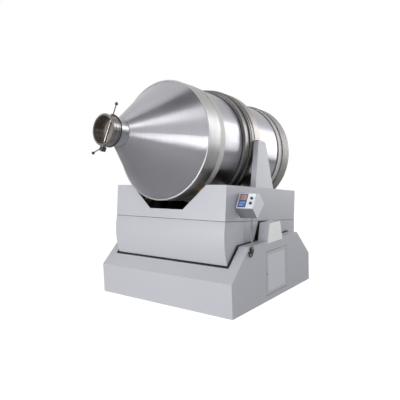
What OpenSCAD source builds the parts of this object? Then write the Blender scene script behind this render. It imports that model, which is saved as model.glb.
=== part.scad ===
/* [Drum shell] */
// Outer radius of the straight barrel
barrel_r = 575; // [500:5:650]
// Length of the straight barrel
barrel_l = 1551; // [1400:1:1700]
// Distance from the rocking axis to the front edge of the barrel
barrel_front = 791; // [740:1:860]
// Thickness of the drum's sheet
drum_wall = 5; // [3:0.5:8]
// Length of the front cone
front_cone_l = 540; // [400:5:640]
// Bore of the neck and the mouth valve, as a radius
mouth_bore_r = 120; // [90:1:150]
// Length of the neck
neck_l = 99; // [60:1:150]
// Length of the rear cone
rear_cone_l = 240; // [150:5:320]
// Radius of the flat rear end
rear_end_r = 230; // [120:5:340]
// Depth of the lifting blades inside the drum
blade_h = 80; // [40:5:120]

/* [Rings round the drum] */
// Height of the front band over the barrel
front_band_h = 13; // [8:1:20]
// Height of the rear band over the barrel
rear_band_h = 24; // [14:1:30]
// Height of the two track rings over the barrel
track_h = 11; // [6:1:20]
// Width of each track ring
track_w = 77; // [60:1:110]
// Distance from the rocking axis to the middle of each track ring
track_y = 573; // [540:1:620]
// Height of the centre ring over the barrel
ring_h = 51; // [40:1:60]
// Width of the centre ring
ring_w = 157; // [120:1:180]
// Distance from the rocking axis to the middle of the centre ring, towards the mouth
ring_y = 140; // [130:1:180]

/* [Mouth valve] */
// Outer radius of the valve body
valve_r = 138; // [128:1:170]
// Length of the valve body
valve_l = 85; // [70:1:120]
// Depth of the valve disc behind the mouth's front edge
disc_depth = 62; // [40:1:70]
// Thickness of the gasket behind the valve body
gasket_t = 4; // [2:0.5:8]
// Direction of the valve stem, in degrees up from the right
stem_angle = 67; // [40:1:90]
// Length of the straight handle beyond the valve body
handle_l = 112; // [80:1:150]
// Radius of the handles' balls
ball_r = 14; // [10:1:20]

/* [Support wheels] */
// Radius of the support wheels
wheel_r = 90; // [70:1:110]
// Width of the support wheels
wheel_w = 68; // [50:1:74]
// Angle of the wheels from the lowest point of the drum
wheel_angle = 38; // [30:1:44]
// Radius of the wheel shafts
shaft_r = 25; // [18:1:30]
// Radius of the two thrust wheels
thrust_r = 45; // [35:1:55]

/* [Swing casing] */
// Height of the rocking axis over the floor
pivot_z = 657; // [630:1:690]
// How far the drum's mouth is raised as drawn, in degrees
rest_tilt = 6; // [0:1:10]
// Swing to each side of level, in degrees
swing_limit = 12; // [8:1:14]
// Height of the seam between the upper casing and the skirts
seam_z = 769; // [765:1:800]
// Height of the top of the upper casing
casing_top_z = 1101; // [1080:1:1160]
// Thickness of the casing sheets
casing_t = 4; // [3:0.5:6]
// Half width of the notch under the drum at its top
notch_top = 496; // [470:1:520]
// Half width of the notch under the drum at its bottom
notch_low = 217; // [180:1:260]
// Height of the notch's bottom edge
notch_z = 862; // [850:1:900]
// Width of the flange round the top of the casing
flange_w = 62; // [40:1:70]
// How far the skirts reach below the rocking axis, in degrees
skirt_angle = 35; // [32:1:38]
// Height of the skirts' side edges
skirt_low_z = 430; // [400:5:480]

/* [Posts and arch] */
// Thickness of the side posts at the foot
post_t = 62; // [40:1:80]
// Thickness of the side posts at the top
post_top_t = 53; // [36:1:70]
// Half length of a post's foot along the drum
post_foot = 180; // [140:1:220]
// Half length of a post's top along the drum
post_top = 70; // [62:1:100]
// Height of the posts' tops over the drum axis
post_rise = 50; // [30:1:90]
// Gap between the posts' feet and the centre ring
post_gap = 32; // [20:1:50]
// Width of the arch
arch_w = 112; // [80:1:120]
// Thickness of the arch
arch_t = 8; // [6:1:12]
// Gap between the arch and the barrel's largest radius
arch_gap = 44; // [36:1:60]

/* [Base] */
// Height of the base's upright wall
wall_z = 310; // [280:5:340]
// Height of the ledges on the base
ledge_z = 590; // [570:5:605]
// Half length of the ledges
ledge_half = 500; // [460:5:540]
// Thickness of the base's sheets
base_t = 4; // [3:0.5:6]
// Gap between the swing casing and the base's opening
slot_gap = 22; // [14:1:30]
// Width of the ledge on each side
ledge_w = 108; // [100:1:130]
// How far the base's foot runs past the skirt
foot_run = 96; // [60:1:140]
// Height of the frame's floor rails
rail_h = 36; // [30:1:39]

/* [Bearing towers] */
// Height of the towers' tops
tower_top_z = 763; // [750:1:790]
// Half length of a tower's foot
tower_foot = 158; // [150:1:175]
// Half length of a tower's top
tower_top = 107; // [90:1:120]
// How far the towers' outer sheets reach below the ledge
tower_lap = 20; // [10:1:30]
// Radius of the trunnions
trunnion_r = 35; // [28:1:40]

/* [Rocking drive] */
// Distance from the rocking axis to the connecting rod's lug, towards the mouth
lug_y = 300; // [280:1:310]
// Drop of the lug below the rocking axis
lug_drop = 17; // [10:1:30]
// Height of the crank's axis
crank_z = 240; // [225:1:250]
// Width of the connecting rod
rod_w = 36; // [28:1:44]

/* [Console] */
// Width of the console box
console_w = 186; // [150:1:210]
// Length of the console's sloping face
face_l = 154; // [130:1:180]
// Lean of the console's face from upright, in degrees
face_lean = 30; // [20:1:40]
// Height of the console box's lowest edge
console_z = 855; // [820:5:900]
// Distance from the rocking axis to the console's post, towards the mouth
console_y = 459; // [430:1:480]
// Radius of the console's post
console_post_r = 9; // [7:0.5:14]

/* [Service door] */
// Length of the door along the base
door_l = 422; // [360:1:440]
// Height of the door
door_h = 425; // [360:1:440]
// Height of the door's lower edge
door_z = 60; // [50:1:90]
// Distance of the door's middle behind the rocking axis
door_y = 27; // [0:1:40]

/* [Hidden] */
$fn = 96;

// Overrun of every cut, gap of fixed seats, gap of shafts in bearings and of free faces
over = 2;
seat_gap = 0.2;
run_fit = 0.05;
free_gap = 0.4;

// Radii of the drum and its rings
barrel_in = barrel_r - drum_wall;
neck_r = mouth_bore_r + drum_wall;
track_r = barrel_r + track_h;
ring_r = barrel_r + ring_h;
barrel_rear = barrel_l - barrel_front;
neck_base = barrel_front + front_cone_l;
neck_end = neck_base + neck_l;
ferrule_l = 10;
ferrule_h = 9;
ferrule_r = neck_r + ferrule_h;
valve_rear = neck_end + gasket_t;
mouth_y = valve_rear + valve_l;
stem_y = mouth_y - disc_depth;

// Places of the wheels, the deck that carries them and the drum's axis
deck_z = 840;
deck_gap = 68;
wheel_reach = track_r + free_gap + wheel_r;
wheel_x = wheel_reach * sin(wheel_angle);
wheel_z = deck_z + deck_gap + wheel_r;
drum_z = wheel_z + wheel_reach * cos(wheel_angle);

// Widths and lengths of the swing casing and the base
casing_half = ring_r + post_gap + post_t;
casing_margin = 83;
casing_front = track_y + track_w / 2 + casing_margin;
skirt_r = sqrt(casing_front * casing_front + (seam_z - pivot_z) * (seam_z - pivot_z));
slot_r = skirt_r + slot_gap;
ledge_in = casing_half + slot_gap;
base_half = ledge_in + ledge_w;
foot_half = skirt_r + foot_run;

// Swing frame
beam_w = 80;
beam_h = 100;
beam_gap = 30;
beam_out = casing_half - beam_gap;
cross_w = 60;
inner_wheel_gap = 46;
outer_wheel_gap = 33;
inner_cross_y = track_y - wheel_w / 2 - inner_wheel_gap;
outer_cross_y = track_y + wheel_w / 2 + outer_wheel_gap;
lug_beam_w = 90;
trunnion_plate_t = 16;
post_top_z = drum_z + post_rise;
arch_r = barrel_r + arch_gap;

// Pillow blocks of the pivot and of the wheel shafts
pivot_block_h = 79;
pivot_block_w = 72;
pivot_block_l = 250;
pivot_x = ledge_in + ledge_w / 2;
wheel_block_h = 57;
wheel_block_w = 48;
wheel_block_l = 190;

// Crank and connecting rod, solved at the two ends of the swing
function lug_at(up) = [-lug_y * cos(up) - lug_drop * sin(up),
                       pivot_z - lug_drop * cos(up) + lug_y * sin(up)];
crank_centre = [-lug_y, crank_z];
rod_far = norm(lug_at(swing_limit) - crank_centre);
rod_near = norm(lug_at(-swing_limit) - crank_centre);
throw = (rod_far - rod_near) / 2;
rod_l = (rod_far + rod_near) / 2;
lug_rest = lug_at(rest_tilt);
rest_reach = norm(lug_rest - crank_centre);
crank_turn = acos((rest_reach * rest_reach + throw * throw - rod_l * rod_l)
                  / (2 * rest_reach * throw));
crank_pin = crank_centre + throw * [-sin(crank_turn), cos(crank_turn)];
rod_lean = atan2(crank_pin[0] - lug_rest[0], lug_rest[1] - crank_pin[1]);
rod_pin_r = 15;
rod_eye_r = 40;
crank_t = 34;
crank_hub_r = 48;
crank_boss = 12;
gear_gap = 34;
gear_x = rod_w / 2 + crank_boss + crank_t + gear_gap;

// Console outline, from its lower front edge
console_out = 10;
console_x = base_half + console_out;
console_left_share = 0.667;
post_socket = 12;
under_l = 121;
under_angle = -52;
bottom_l = 180;
bottom_angle = 44;
top_d = 44;
top_angle = -9;
nose = [-console_y - under_l * cos(under_angle), console_z - under_l * sin(under_angle)];
crown = nose + face_l * [sin(face_lean), cos(face_lean)];
crown_back = crown + top_d * [cos(top_angle), sin(top_angle)];
belly = nose + under_l * [cos(under_angle), sin(under_angle)];
back = belly + bottom_l * [cos(bottom_angle), sin(bottom_angle)];
console_left = console_x - console_left_share * console_w;
panel_t = 3;
panel_margin = 5;
bezel_w = 82;
bezel_h = 132;
bezel_t = 3;
bezel_rim = 6;
display_t = 2;
bezel_left_share = 0.11;
knob_x_share = 0.8;
upper_knob_share = 0.66;
lower_knob_share = 0.34;
knob_r = 13;
knob_h = 14;
knob_shaft_r = 4;

// Service door
door_gap = 4;
door_t = 3;
door_border = 34;
door_pin_r = 4;

// Colours
painted = [0.79, 0.80, 0.82];
steel = [0.72, 0.72, 0.74];
dark_steel = [0.35, 0.35, 0.37];
black = [0.08, 0.08, 0.09];
motor_blue = [0.45, 0.50, 0.56];
track_beige = [0.66, 0.65, 0.60];

// Everything that rocks, drawn level and then raised at the mouth
module rocked() {
  translate([0, 0, pivot_z]) rotate([-rest_tilt, 0, 0]) translate([0, 0, -pivot_z])
    children();
}

// A turned piece on the drum's axis, its own Z running to the rear
module on_drum_axis(y = 0) {
  rocked() translate([0, y, drum_z]) rotate([-90, 0, 0]) children();
}

// A ring of a given width, from its front face at y
module drum_ring(y, w, r_out, r_in) {
  on_drum_axis(y) difference() {
    cylinder(h = w, r = r_out);
    translate([0, 0, -over]) cylinder(h = w + 2 * over, r = r_in);
  }
}

// A bar between two corners
module bar(low, high) {
  translate(low) cube(high - low);
}

// The same thing on both sides of the machine
module both_sides() {
  children();
  mirror([1, 0, 0]) children();
}

// The same thing at the front and at the rear
module front_and_rear() {
  children();
  mirror([0, 1, 0]) children();
}

// An outline in Y and Z drawn as a solid between two X places
module across(x0, x1) {
  translate([x0, 0, 0]) rotate([90, 0, 90]) linear_extrude(height = x1 - x0) children();
}

// A round bar between two points
module rod_between(a, b, r) {
  d = b - a;
  len = norm(d);
  translate(a) rotate([0, acos(d[2] / len), atan2(d[1], d[0])]) cylinder(h = len, r = r);
}

// A hexagon bolt head with its washer, standing on z = 0
module bolt_head(d) {
  washer_share = 0.16;
  head_share = 0.64;
  hex_share = 0.9;
  cylinder(h = d * washer_share, r = d);
  translate([0, 0, d * washer_share]) cylinder(h = d * head_share, r = d * hex_share, $fn = 6);
}

// A pillow block that holds a shaft along Y, its foot on z = 0
block_foot_share = 0.28;
block_round_share = 0.9;
block_bolt_share = 0.1;
module pillow_block(h, w, l, bore) {
  foot_t = h * block_foot_share;
  round_r = h * block_round_share;
  bolt_r = h * block_bolt_share;
  difference() {
    union() {
      translate([-l / 2, -w / 2, 0]) cube([l, w, foot_t]);
      translate([0, w / 2, h]) rotate([90, 0, 0]) cylinder(h = w, r = round_r);
      translate([-round_r, -w / 2, 0]) cube([2 * round_r, w, h]);
    }
    translate([0, w / 2 + over, h]) rotate([90, 0, 0]) cylinder(h = w + 2 * over, r = bore);
    for (x = [-1, 1] * (l / 2 - 2 * bolt_r))
      translate([x, 0, -over]) cylinder(h = foot_t + 2 * over, r = bolt_r);
  }
}

// The two bolts of a pillow block, with their heads above its foot
module pillow_bolts(h, l) {
  foot_t = h * block_foot_share;
  bolt_r = h * block_bolt_share;
  for (x = [-1, 1] * (l / 2 - 2 * bolt_r)) translate([x, 0, 0]) {
    cylinder(h = foot_t + over, r = bolt_r - seat_gap);
    translate([0, 0, foot_t + seat_gap]) bolt_head(2 * bolt_r);
  }
}

// A finned motor along X, its mounting face at x = 0 and its body towards +X
module finned_motor(r, l) {
  fins = 24;
  fin_shares = [0.035, 0.12];
  flange_share = 0.14;
  cowl_share = 0.22;
  box_shares = [0.3, 0.32, 0.9, 0.45];
  fin_t = r * fin_shares[0];
  fin_h = r * fin_shares[1];
  flange_t = r * flange_share;
  cowl_l = l * cowl_share;
  box_w = r * box_shares[2];
  core_r = r - fin_h;
  rotate([0, 90, 0]) {
    cylinder(h = flange_t, r = r);
    cylinder(h = l - cowl_l, r = core_r);
    translate([0, 0, l - cowl_l]) cylinder(h = cowl_l, r = r);
    for (k = [0 : fins - 1]) rotate([0, 0, k * 360 / fins])
      translate([0, -fin_t / 2, 0]) cube([r - fin_t, fin_t, l - cowl_l]);
  }
  translate([l * box_shares[0], -box_w / 2, core_r - fin_h])
    cube([l * box_shares[1], box_w, r * box_shares[3]]);
}

// Frame of the base, on the floor inside the cover
module base_frame() color(dark_steel) {
  rail_w = 60;
  out_x = base_half - base_t - seat_gap;
  out_y = foot_half - base_t - seat_gap;
  pillar_w = 76;
  pillar_x = pivot_x;
  pad_over = 20;
  pad_l = pivot_block_l + 2 * pad_over;
  pad_t = 20;
  pad_z = pivot_z - pivot_block_h;
  drive_y = crank_centre[0];
  anchor_r = 9;
  anchor_inset = 90;
  difference() {
    union() {
      both_sides() bar([out_x - rail_w, -out_y, 0], [out_x, out_y, rail_h]);
      front_and_rear() bar([-out_x, -out_y, 0], [out_x, rail_w - out_y, rail_h]);
      for (y = [drive_y - gear_half, drive_y + gear_half - rail_w])
        bar([-out_x, y, 0], [out_x, y + rail_w, rail_h]);
      both_sides() {
        for (y = [-1, 1] * (pad_l / 2 - pillar_w / 2))
          bar([pillar_x - pillar_w / 2, y - pillar_w / 2, rail_h - over],
              [pillar_x + pillar_w / 2, y + pillar_w / 2, pad_z - pad_t + over]);
        bar([pillar_x - ledge_w / 2 + base_t, -pad_l / 2, pad_z - pad_t],
            [pillar_x + ledge_w / 2 - 2 * base_t, pad_l / 2, pad_z]);
        bar([pillar_x - pillar_w / 2, -pad_l / 2, 0], [out_x, pad_l / 2, rail_h]);
        front_and_rear() bar([out_x - rail_w, 2 * base_t - ledge_half, rail_h - over],
          [out_x, rail_w - ledge_half, ledge_z - base_t - seat_gap]);
      }
    }
    both_sides() front_and_rear()
      translate([out_x - rail_w / 2, -out_y + anchor_inset, -over])
        cylinder(h = rail_h + 2 * over, r = anchor_r);
    both_sides() for (y = [-1, 1] * (pivot_block_l / 2 - 2 * block_bolt_share * pivot_block_h))
      translate([pillar_x, y, pad_z - pad_t - over])
        cylinder(h = pad_t + 2 * over, r = block_bolt_share * pivot_block_h);
  }
}

// Outline of the base seen from the side, shrunk by a sheet thickness
module base_outline(t) {
  polygon([[-foot_half + t, -over], [foot_half - t, -over],
           [foot_half - t, wall_z - t / 2], [ledge_half - t / 2, ledge_z - t],
           [-ledge_half + t / 2, ledge_z - t], [-foot_half + t, wall_z - t / 2]]);
}

// Sheet cover of the base with the swing opening and the door opening
module base_cover() color(painted) {
  lug_h = 2 * door_hinge_depth;
  block_slot = pivot_block_l + 2 * slot_gap;
  difference() {
    intersection() {
      across(-base_half, base_half) base_outline(0);
      bar([-base_half, -foot_half, 0], [base_half, foot_half, ledge_z]);
    }
    difference() {
      across(base_t - base_half, base_half - base_t) base_outline(base_t);
      for (z = [door_z - door_gap - lug_h, door_z + door_h + door_gap])
        bar([base_half - base_t - lug_h, door_hinge_y - lug_h, z],
            [base_half - base_t + over, door_hinge_y + lug_h, z + lug_h]);
    }
    translate([-ledge_in, 0, pivot_z]) rotate([0, 90, 0])
      cylinder(h = 2 * ledge_in, r = slot_r);
    both_sides() bar([ledge_in - over, -block_slot / 2, ledge_z - base_t - over],
      [base_half - 2 * base_t, block_slot / 2, ledge_z + over]);
    bar([base_half - base_t - over, door_y - door_l / 2 - door_gap, door_z - door_gap],
        [base_half + over, door_y + door_l / 2 + door_gap, door_z + door_h + door_gap]);
    translate([door_hinge_x, door_hinge_y, door_z - door_gap - lug_h - over])
      cylinder(h = door_h + 2 * (door_gap + lug_h + over), r = door_pin_r + run_fit);
    gland_hole();
    bracket_holes();
  }
}

// The door turns on a line just inside the cover, near the door's rear edge
door_hinge_inset = 25;
door_hinge_depth = 8;
door_hinge_y = door_y + door_l / 2 - door_hinge_inset;
door_hinge_x = base_half - base_t - door_hinge_depth;

// Door leaf with its raised border, its pivots and their arm
module service_door() color(painted) {
  leaf_in = base_half - door_t;
  pin_l = door_gap + 2 * door_hinge_depth - over;
  arm_t = 2 * door_pin_r;
  y0 = door_y - door_l / 2;
  y1 = door_y + door_l / 2;
  z0 = door_z;
  z1 = door_z + door_h;
  difference() {
    bar([leaf_in, y0, z0], [base_half, y1, z1]);
    bar([base_half - door_t / 2, y0 + door_border, z0 + door_border],
        [base_half + over, y1 - door_border, z1 - door_border]);
    latch_hole();
  }
  for (z = [z0, z1 - arm_t])
    bar([door_hinge_x - arm_t / 2, door_hinge_y - arm_t, z],
        [leaf_in + door_t / 2, door_hinge_y + arm_t, z + arm_t]);
  for (z = [z0 - pin_l, z1 - arm_t])
    translate([door_hinge_x, door_hinge_y, z]) cylinder(h = pin_l + arm_t, r = door_pin_r);
}

// Quarter turn latch of the door
latch_r = 11;
latch_shaft_r = 7;
latch_inset = 17;
module latch_place() {
  translate([base_half, door_y - door_l / 2 + latch_inset, door_z + door_h / 2])
    rotate([0, 90, 0]) children();
}
module latch_hole() {
  latch_place() translate([0, 0, -door_t - over])
    cylinder(h = door_t + 2 * over, r = latch_shaft_r + run_fit);
}
module door_latch() color(dark_steel) {
  head_h = 4;
  slot_w = 3;
  tongue_t = 3;
  tongue_l = 34;
  tongue_z = -base_t - free_gap - tongue_t;
  latch_place() difference() {
    union() {
      translate([0, 0, free_gap]) cylinder(h = head_h, r = latch_r);
      translate([0, 0, tongue_z]) cylinder(h = head_h - tongue_z, r = latch_shaft_r);
      translate([0, -latch_shaft_r, tongue_z]) cube([tongue_l, 2 * latch_shaft_r, tongue_t]);
    }
    translate([-latch_r, -slot_w / 2, head_h / 2]) cube([2 * latch_r, slot_w, head_h]);
  }
}

// Outline of a bearing tower seen from the side
module tower_outline(t, foot_z) {
  lean = (tower_foot - tower_top) / (tower_top_z - ledge_z + tower_lap);
  foot = tower_top + lean * (tower_top_z - foot_z);
  polygon([[-foot + t, foot_z], [foot - t, foot_z],
           [tower_top - t, tower_top_z - t], [-tower_top + t, tower_top_z - t]]);
}

// Sheet tower over a pivot bearing, right side
module tower_cover() color(painted) {
  tower_t = 3;
  hole_gap = 12;
  shaft_hole = trunnion_r + hole_gap;
  foot_z = ledge_z + seat_gap;
  difference() {
    union() {
      across(ledge_in, base_half + seat_gap) tower_outline(0, foot_z);
      across(base_half + seat_gap, base_half + tower_t) tower_outline(0, ledge_z - tower_lap);
    }
    difference() {
      across(ledge_in + tower_t, base_half) tower_outline(tower_t, foot_z);
      bar([ledge_in, -tower_foot, foot_z - over], [base_half, tower_foot, foot_z]);
    }
    across(ledge_in + tower_t, base_half - tower_t) tower_outline(2 * tower_t, foot_z - over);
    translate([ledge_in - over, 0, pivot_z]) rotate([0, 90, 0])
      cylinder(h = tower_t + 2 * over, r = shaft_hole);
  }
}
module right_tower_cover() tower_cover();
module left_tower_cover() mirror([1, 0, 0]) tower_cover();

// Pillow blocks of the rocking axis, on the frame's pads inside the towers
module on_pivot_pad() {
  translate([pivot_x, 0, pivot_z - pivot_block_h + seat_gap]) rotate([0, 0, 90]) children();
}
module pivot_bearings() color(dark_steel) both_sides() on_pivot_pad()
  pillow_block(pivot_block_h - seat_gap, pivot_block_w, pivot_block_l, trunnion_r + run_fit);
module pivot_bearing_bolts() color(steel) both_sides() on_pivot_pad()
  pillow_bolts(pivot_block_h - seat_gap, pivot_block_l);

// Gearbox and motor that turn the crank
gear_half = 110;
gear_w = 190;
gear_foot_z = rail_h + seat_gap;
gear_rise = 150;
gear_top_z = crank_z + gear_rise;
crank_shaft_r = 24;
module swing_gearbox() color(motor_blue) {
  foot_t = 18;
  y = crank_centre[0];
  bar([-gear_x - gear_w, y - gear_half, gear_foot_z], [-gear_x, y + gear_half, gear_top_z]);
  bar([-gear_x - gear_w - foot_t, y - gear_half, gear_foot_z],
      [-gear_x + foot_t / 2, y + gear_half, gear_foot_z + foot_t]);
  translate([-gear_x - over, y, crank_z]) rotate([0, 90, 0])
    cylinder(h = foot_t + over, r = 2 * crank_shaft_r);
  translate([-gear_x, y, crank_z]) rotate([0, 90, 0])
    cylinder(h = gear_x - rod_w / 2 - crank_boss, r = crank_shaft_r);
}
module swing_motor() color(motor_blue) {
  motor_r = 100;
  motor_l = 300;
  translate([-gear_x - gear_w - seat_gap, crank_centre[0], crank_z]) mirror([1, 0, 0])
    finned_motor(motor_r, motor_l);
}

// Crank on the gearbox shaft, its pin ending just short of the connecting rod
module swing_crank() color(steel) {
  x0 = -rod_w / 2 - crank_boss - crank_t;
  pin_r = 22;
  crank_web = 64;
  pin_at = -throw * [cos(crank_turn), sin(crank_turn)];
  translate([x0, crank_centre[0], crank_centre[1]]) rotate([0, 90, 0]) {
    difference() {
      linear_extrude(height = crank_t) union() {
        circle(r = crank_hub_r);
        translate(pin_at) circle(r = 2 * pin_r);
        rotate([0, 0, crank_turn]) translate([-throw, -crank_web / 2]) square([throw, crank_web]);
      }
      translate([0, 0, -over]) cylinder(h = crank_t + 2 * over, r = crank_shaft_r + run_fit);
    }
    translate([pin_at[0], pin_at[1], crank_t / 2])
      cylinder(h = crank_t / 2 + crank_boss - free_gap, r = pin_r);
  }
}

// Connecting rod from the crank pin up to the frame's lug
module connecting_rod() color(steel) {
  shank_r = 18;
  translate([0, lug_rest[0], lug_rest[1]]) rotate([rod_lean, 0, 0]) {
    difference() {
      union() {
        for (z = [0, -rod_l]) translate([-rod_w / 2, 0, z]) rotate([0, 90, 0])
          cylinder(h = rod_w, r = rod_eye_r);
        translate([0, 0, -rod_l]) cylinder(h = rod_l, r = min(shank_r, rod_w / 2));
      }
      translate([-rod_w / 2 - over, 0, 0]) rotate([0, 90, 0])
        cylinder(h = rod_w + 2 * over, r = rod_pin_r + run_fit);
    }
  }
}

// Pin through the lug's two cheeks
lug_cheek = 16;
lug_gap = 1;
lug_space = rod_w / 2 + lug_gap;
pin_head_share = 1.6;
module rod_pin() color(dark_steel) rocked() {
  head_h = 8;
  half = lug_space + lug_cheek + seat_gap;
  translate([-half - head_h, -lug_y, pivot_z - lug_drop]) rotate([0, 90, 0]) {
    cylinder(h = 2 * (half + head_h), r = rod_pin_r);
    cylinder(h = head_h, r = pin_head_share * rod_pin_r);
    translate([0, 0, 2 * half + head_h]) cylinder(h = head_h, r = pin_head_share * rod_pin_r);
  }
}

// Welded frame inside the swing casing
riser_top = wheel_z - wheel_block_h;
riser_l = wheel_block_l;
thrust_front_y = -ring_y - ring_w / 2 - free_gap - thrust_r;
thrust_rear_y = -ring_y + ring_w / 2 + free_gap + thrust_r;
column_w = 46;
beam_z = deck_z - beam_h;
module swing_frame() color(dark_steel) rocked() {
  column_inset = 70;
  column_y = post_foot - column_inset;
  bracket_half = 22;
  bracket_z = [seam_z - bracket_half, seam_z + bracket_half];
  rail_out = casing_half - casing_t - seat_gap;
  plate_foot = 76;
  plate_top = 150;
  plate_rim = 24;
  plate_low = pivot_z - trunnion_r - plate_rim;
  difference() {
    union() {
      both_sides() {
        bar([beam_out - beam_w, -outer_cross_y - cross_w / 2, beam_z],
            [beam_out, outer_cross_y + cross_w / 2, deck_z]);
        front_and_rear() bar([beam_out - over, -outer_cross_y, bracket_z[0]],
          [rail_out, -post_foot - plate_foot / 2, bracket_z[1]]);
        for (y = [-1, 1] * column_y)
          bar([beam_out - column_w, y - column_w / 2, deck_z - over],
              [beam_out, y + column_w / 2, casing_top_z - casing_t - seat_gap]);
        across(beam_out - over, beam_out + trunnion_plate_t)
          polygon([[-plate_foot, plate_low], [plate_foot, plate_low],
                   [plate_top, beam_z], [plate_top, deck_z],
                   [-plate_top, deck_z], [-plate_top, beam_z]]);
        across(beam_out - beam_w / 2, beam_out)
          polygon([[-plate_foot, plate_low], [plate_foot, plate_low],
                   [plate_top, beam_z + over], [-plate_top, beam_z + over]]);
      }
      front_and_rear() {
        for (y = [inner_cross_y, outer_cross_y])
          bar([-beam_out, -y - cross_w / 2, beam_z], [beam_out, cross_w / 2 - y, deck_z]);
        bar([-casing_half / 2, -casing_front + casing_t + seat_gap, bracket_z[0]],
            [casing_half / 2, -outer_cross_y, bracket_z[1]]);
        both_sides() for (y = [inner_cross_y, outer_cross_y])
          bar([wheel_x - riser_l / 2, -y - wheel_block_w / 2, deck_z - over],
              [wheel_x + riser_l / 2, wheel_block_w / 2 - y, riser_top]);
      }
      bar([-beam_out, -lug_y - lug_beam_w / 2, beam_z],
          [beam_out, lug_beam_w / 2 - lug_y, deck_z]);
      bar([-beam_out, thrust_rear_y - lug_beam_w / 2, beam_z],
          [beam_out, thrust_rear_y + lug_beam_w / 2, deck_z]);
      for (s = [-1, 1]) translate([s * (lug_space + lug_cheek / 2), 0, 0])
        across(-lug_cheek / 2, lug_cheek / 2)
          polygon([[-lug_y - rod_eye_r, pivot_z - lug_drop - rod_eye_r],
                   [-lug_y + rod_eye_r, pivot_z - lug_drop - rod_eye_r],
                   [-lug_y + rod_eye_r, beam_z + over], [-lug_y - rod_eye_r, beam_z + over]]);
      drive_shelf();
    }
    translate([-casing_half, -lug_y, pivot_z - lug_drop]) rotate([0, 90, 0])
      cylinder(h = 2 * casing_half, r = rod_pin_r + seat_gap);
    both_sides() translate([beam_out - beam_w, 0, pivot_z]) rotate([0, 90, 0])
      cylinder(h = beam_w + trunnion_plate_t + over, r = trunnion_r + seat_gap);
  }
}

// Stub shafts on which the swing frame rocks
module trunnions() color(steel) rocked() both_sides() {
  collar_t = 10;
  tip = pivot_x + pivot_block_w / 2 + over;
  root = beam_out - beam_w / 2;
  translate([root - collar_t, 0, pivot_z]) rotate([0, 90, 0]) {
    cylinder(h = tip - root + collar_t, r = trunnion_r);
    cylinder(h = collar_t - seat_gap, r = trunnion_r + collar_t);
  }
}

// Outline of the casing's notch under the drum, seen from the front
module notch_outline() {
  rise = casing_top_z - notch_z;
  lean = (notch_top - notch_low) / rise;
  polygon([[-notch_low, notch_z], [notch_low, notch_z],
           [notch_top + lean * over, casing_top_z + over],
           [-notch_top - lean * over, casing_top_z + over]]);
}

// Upper casing, a box of sheet with a flange round its top
module upper_casing() color(painted) rocked() {
  low = seam_z + seat_gap;
  in_x = casing_half - casing_t;
  in_y = casing_front - casing_t;
  difference() {
    bar([-casing_half, -casing_front, low], [casing_half, casing_front, casing_top_z]);
    bar([-in_x, -in_y, low - over], [in_x, in_y, casing_top_z - casing_t]);
    bar([flange_w - casing_half, flange_w - casing_front, low],
        [casing_half - flange_w, casing_front - flange_w, casing_top_z + over]);
    translate([0, casing_front + over, 0]) rotate([90, 0, 0])
      linear_extrude(height = 2 * (casing_front + over)) notch_outline();
  }
}

// Outline of a skirt seen from the side, front skirt towards -Y
notch_gap_top = 7;
tower_notch_top = tower_top + notch_gap_top;
notch_gap_low = 30;
skirt_step = 450;
module skirt_outline(r, grow) {
  tip = r + 2 * over;
  lean = (tower_foot + notch_gap_low - tower_notch_top) / (tower_top_z - ledge_z + tower_lap);
  low_y = tower_notch_top + lean * (seam_z - skirt_low_z);
  intersection() {
    translate([0, pivot_z]) circle(r = r);
    polygon([[-tower_notch_top + grow, seam_z + grow], [-low_y + grow, skirt_low_z - grow],
             [-skirt_step + grow, skirt_low_z - grow],
             [-tip * cos(skirt_angle), pivot_z - tip * sin(skirt_angle) - grow],
             [-2 * tip, pivot_z - tip * sin(skirt_angle) - grow], [-2 * tip, seam_z + grow]]);
  }
}

// Curved skirt that dips into the base's opening
module skirt() {
  difference() {
    across(-casing_half, casing_half) skirt_outline(skirt_r, 0);
    across(casing_t - casing_half, casing_half - casing_t)
      skirt_outline(skirt_r - casing_t, casing_t + over);
  }
}
module front_skirt() color(painted) rocked() skirt();
module rear_skirt() color(painted) rocked() mirror([0, 1, 0]) skirt();

// Side post, leaning in towards the drum
module post() color(painted) rocked() {
  foot_z = casing_top_z + seat_gap;
  lean_in = casing_half - post_t - arch_r;
  intersection() {
    across(0, casing_half)
      polygon([[-post_foot, foot_z], [post_foot, foot_z],
               [post_top, post_top_z], [-post_top, post_top_z]]);
    translate([0, post_foot, 0]) rotate([90, 0, 0]) linear_extrude(height = 2 * post_foot)
      polygon([[casing_half - post_t, foot_z], [casing_half, foot_z],
               [casing_half - post_t - lean_in + post_top_t, post_top_z],
               [casing_half - post_t - lean_in, post_top_z]]);
  }
}
module right_post() post();
module left_post() mirror([1, 0, 0]) post();

// Arch over the drum, bolted to the posts' tops
arch_foot_t = 8;
arch_foot_l = 44;
arch_bolt_r = 5;
module arch_guard() color(steel) rocked() {
  low = post_top_z + seat_gap;
  translate([0, arch_w / 2, 0]) rotate([90, 0, 0]) linear_extrude(height = arch_w) {
    intersection() {
      translate([0, drum_z]) difference() {
        circle(r = arch_r + arch_t);
        circle(r = arch_r);
      }
      translate([-2 * arch_r, low]) square([4 * arch_r, 2 * arch_r]);
    }
  }
  both_sides() difference() {
    bar([arch_r + arch_t / 2, -arch_w / 2, low],
        [arch_r + arch_foot_l, arch_w / 2, low + arch_foot_t]);
    arch_bolt_places() translate([0, 0, -arch_foot_t])
      cylinder(h = 3 * arch_foot_t, r = arch_bolt_r + seat_gap);
  }
}
module arch_bolt_places() {
  for (y = [-1, 1] * arch_w / 4)
    translate([arch_r + (arch_t + arch_foot_l) / 2, y, post_top_z + seat_gap]) children();
}
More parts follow.
